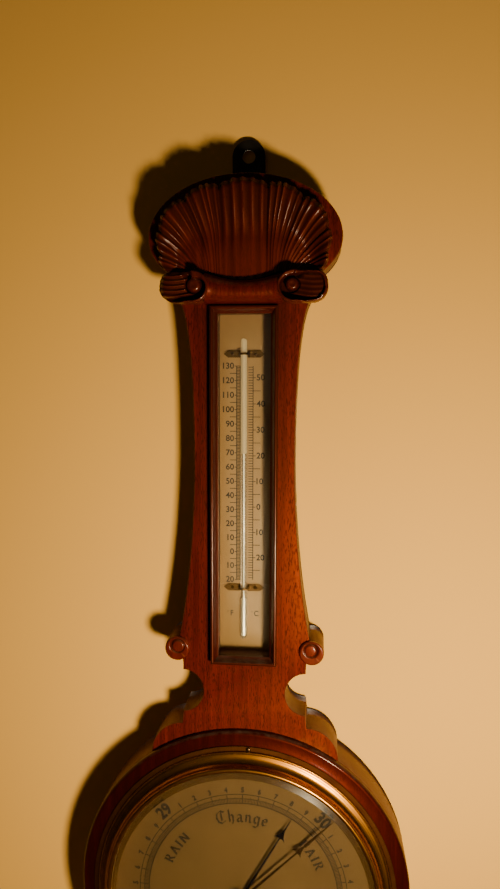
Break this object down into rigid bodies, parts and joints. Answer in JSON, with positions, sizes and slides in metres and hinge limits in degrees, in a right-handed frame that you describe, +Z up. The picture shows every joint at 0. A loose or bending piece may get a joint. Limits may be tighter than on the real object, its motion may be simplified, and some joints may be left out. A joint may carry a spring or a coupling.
{
  "type": "wall barometer",
  "caption": "Carved hardwood wall barometer in a banjo outline: aneroid dial under a brass bezel, a glazed thermometer up the trunk and a shell crest.",
  "frame": {"origin": "centre of the hole in the hanging plate, on the wall plane", "axes": "+Z up the case, +X to the right seen from the front, +Y into the wall; the dial faces -Y"},
  "size_m": [0.256, 0.0572, 0.7575],
  "materials": {
    "mahogany": "french-polished mahogany, worn satin",
    "red_mahogany": "dark red polished mahogany, turned",
    "carved_mahogany": "carved mahogany, polished on the high points and dark in the hollows",
    "lacquered_brass": "lacquered brass, darkened in the hollows",
    "movement_brass": "plain brass plate, brushed",
    "black_iron": "blackened iron",
    "steel": "plain steel",
    "blued_steel": "blued steel, nearly black",
    "nickel_silver": "nickel silver sheet",
    "mercury": "liquid mercury",
    "dial_enamel": "cream dial, aged, with dark engraved figures",
    "ivorine": "aged cream scale plate with dark figures",
    "glass": "clear old glass"
  },
  "bodies": {
    "case": {"case_board": "mahogany", "shoulder_scroll_left": "carved_mahogany", "shoulder_scroll_right": "carved_mahogany", "shell_crest": "carved_mahogany", "crest_roll": "carved_mahogany", "crest_volute_left": "carved_mahogany", "crest_volute_right": "carved_mahogany", "hanging_plate": "black_iron", "hanging_plate_screw_1": "steel", "hanging_plate_screw_2": "steel", "dial_ring": "red_mahogany", "bezel": "lacquered_brass", "bezel_screw_1": "lacquered_brass", "bezel_screw_2": "lacquered_brass", "bezel_screw_3": "lacquered_brass", "dial_glass": "glass", "glass_spacer_ring": "movement_brass", "dial_plate": "dial_enamel", "thermometer_frame_top": "carved_mahogany", "thermometer_frame_left": "carved_mahogany", "thermometer_frame_bottom": "carved_mahogany", "thermometer_frame_right": "carved_mahogany", "thermometer_glass": "glass", "thermometer_plate": "ivorine", "thermometer_tube": "glass", "thermometer_mercury": "mercury", "tube_clip_upper": "lacquered_brass", "tube_clip_lower": "lacquered_brass", "clip_pin_upper_left": "lacquered_brass", "clip_pin_upper_right": "lacquered_brass", "clip_pin_lower_left": "lacquered_brass", "clip_pin_lower_right": "lacquered_brass", "back_cover": "movement_brass", "back_cover_screw_1": "steel", "back_cover_screw_2": "steel", "back_cover_screw_3": "steel", "base_plate": "movement_brass", "dial_pillar_1": "movement_brass", "dial_pillar_2": "movement_brass", "dial_pillar_3": "movement_brass", "vacuum_capsule": "nickel_silver", "spring_bridge": "black_iron", "leaf_screw_left": "blued_steel", "leaf_screw_right": "blued_steel", "rocker_post_left": "movement_brass", "rocker_post_right": "movement_brass", "fusee_chain": "steel", "arbor_bridge": "movement_brass", "hairspring": "blued_steel"},
    "pointer": {"pointer": "blued_steel", "pointer_arbor": "steel"},
    "set_hand": {"set_hand": "lacquered_brass", "set_hand_knob": "lacquered_brass", "set_hand_washer": "movement_brass"},
    "rocking_bar": {"rocking_bar": "steel"},
    "link": {"link": "steel"},
    "main_lever": {"mainspring": "steel", "main_lever": "movement_brass"},
    "capsule_post": {"capsule_post": "steel"},
    "adjusting_screw": {"adjusting_screw": "steel"}
  },
  "joints": [
    {"name": "pointer_turn", "type": "hinge", "parent": "case", "child": "pointer", "pos_m": [0, -0.034, -0.563], "axis": [0, 1, 0], "range_deg": [-162, 102], "deforming": ["hairspring"]},
    {"name": "rocking_bar_turn", "type": "hinge", "parent": "case", "child": "rocking_bar", "pos_m": [0, -0.0275, -0.601], "axis": [1, 0, 0], "range_deg": [-28.6, 18.1], "deforming": ["fusee_chain"]},
    {"name": "link_turn", "type": "hinge", "parent": "rocking_bar", "child": "link", "pos_m": [-0.0033, -0.0275, -0.6055], "axis": [1, 0, 0], "range_deg": [-18.1, 28.6]},
    {"name": "main_lever_tilt", "type": "hinge", "parent": "case", "child": "main_lever", "pos_m": [0, -0.0197, -0.525], "axis": [1, 0, 0], "range_deg": [-1.65, 1.05]},
    {"name": "capsule_post_slide", "type": "slide", "parent": "case", "child": "capsule_post", "axis": [0, 1, 0], "range_m": [-0.0011, 0.0007], "deforming": ["vacuum_capsule"]},
    {"name": "set_hand_turn", "type": "hinge", "parent": "case", "child": "set_hand", "pos_m": [0, -0.034, -0.563], "axis": [0, 1, 0], "continuous": true},
    {"name": "adjusting_screw_turn", "type": "hinge", "parent": "case", "child": "adjusting_screw", "pos_m": [0, -0.034, -0.563], "axis": [0, 1, 0], "range_deg": [-360, 360]}
  ],
  "couplings": [
    {"joint": "rocking_bar_turn", "follows": "pointer_turn", "ratio": 0.17526},
    {"joint": "link_turn", "follows": "pointer_turn", "ratio": -0.17526},
    {"joint": "main_lever_tilt", "follows": "pointer_turn", "ratio": 0.009797},
    {"joint": "capsule_post_slide", "follows": "pointer_turn", "m_per_rad": 0.00037229}
  ]
}
